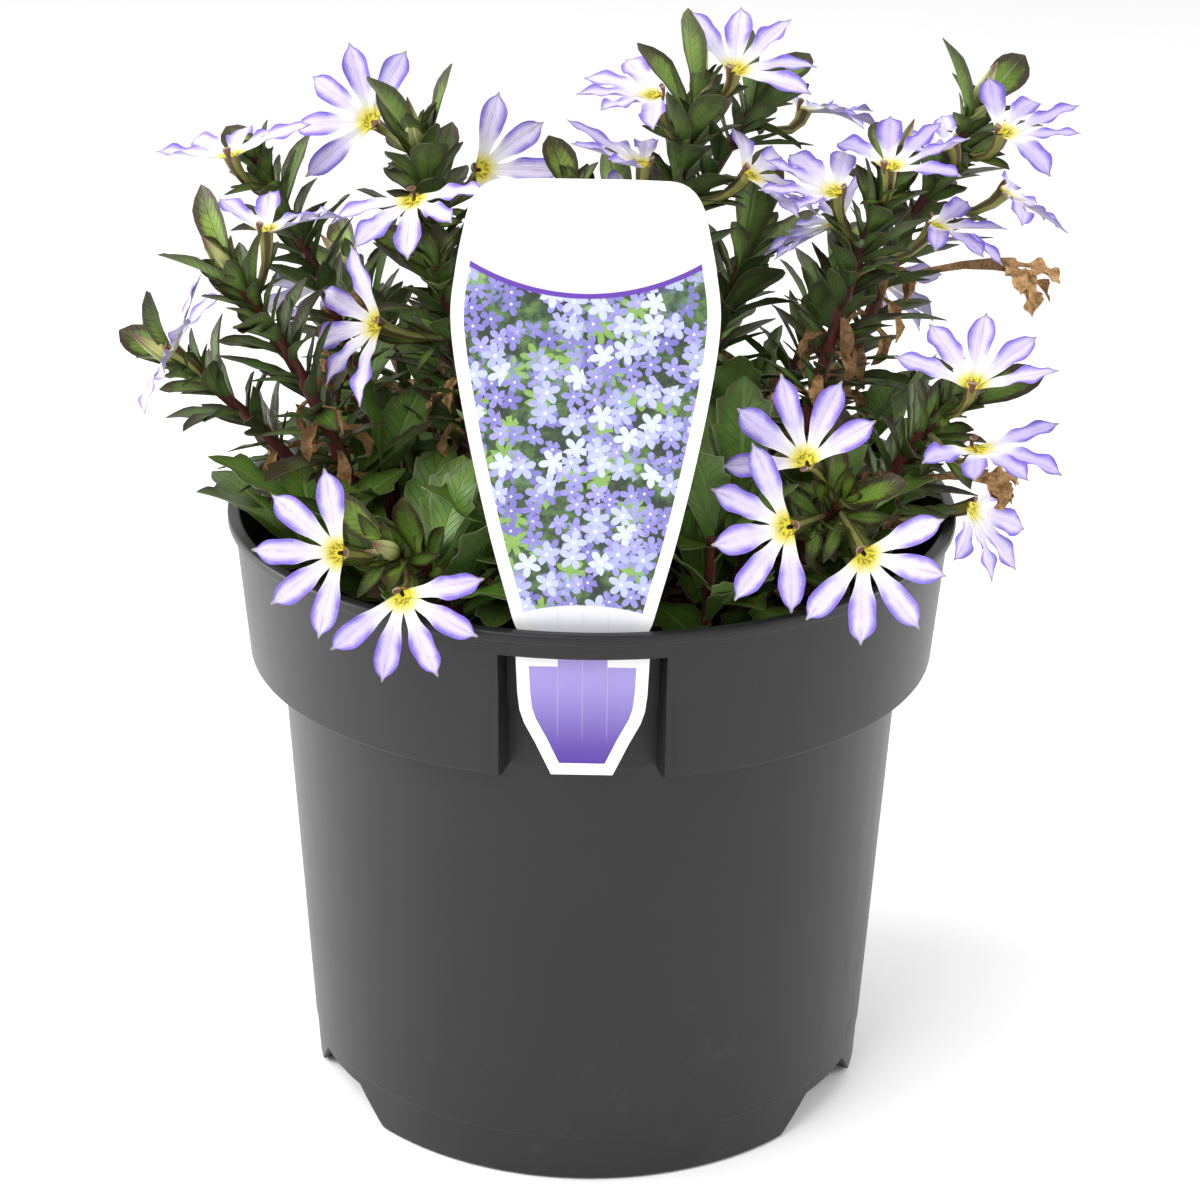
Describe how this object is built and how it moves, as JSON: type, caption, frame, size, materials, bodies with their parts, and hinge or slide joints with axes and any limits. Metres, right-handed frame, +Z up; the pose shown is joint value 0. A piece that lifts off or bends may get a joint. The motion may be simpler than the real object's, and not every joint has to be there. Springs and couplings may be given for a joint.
{
  "type": "potted fan flower",
  "caption": "Young fan flower plant in a round nursery pot: leafy spreading stems, basal toothed leaves, one-sided fan-shaped blooms, soil, and a push-in label in the collar's pocket.",
  "frame": {"origin": "centre of the pot's foot ring on the ground", "axes": "+Z up along the pot's axis; -Y towards the front, where the label hangs"},
  "size_m": [0.1795, 0.1427, 0.2136],
  "materials": {
    "pot": "satin moulded polypropylene, charcoal grey",
    "soil": null,
    "label": "smooth printed card-thick plastic",
    "leaf": null,
    "petal": null,
    "dry": null
  },
  "bodies": {
    "root": {"pot": "pot", "label": "label", "soil": "soil", "bloom_01": "petal", "bloom_02": "petal", "bloom_03": "petal", "bloom_04": "petal", "bloom_05": "petal", "bloom_06": "petal", "bloom_07": "petal", "bloom_08": "petal", "bloom_09": "petal", "bloom_10": "petal", "bloom_11": "petal", "bloom_12": "petal", "bloom_13": "petal", "bloom_14": "petal", "bloom_15": "petal", "bloom_16": "petal", "bloom_17": "petal", "bloom_18": "petal", "bloom_19": "petal", "bloom_20": "petal", "bloom_21": "petal", "bloom_22": "petal", "bloom_23": "petal", "bloom_24": "petal", "bloom_25": "petal", "bloom_26": "petal", "bloom_27": "petal", "bloom_28": "petal", "bloom_29": "petal", "bloom_30": "petal", "bloom_31": "petal", "spent_1": "dry", "spent_2": "dry", "stem_a": "leaf", "stem_b": "leaf", "stem_c": "leaf", "stem_d": "leaf", "stem_e": "leaf", "stem_f": "leaf", "stem_h": "leaf", "stem_i": "leaf", "stem_j": "leaf", "stem_k": "leaf", "stem_l": "leaf", "stem_m": "leaf", "stem_r": "leaf", "stem_n": "leaf", "stem_o": "leaf", "stem_p": "leaf", "rosette_1": "leaf", "rosette_2": "leaf", "rosette_3": "leaf", "rosette_4": "leaf", "rosette_5": "leaf", "rosette_6": "leaf", "rosette_7": "leaf", "rosette_8": "leaf"}
  },
  "joints": []
}
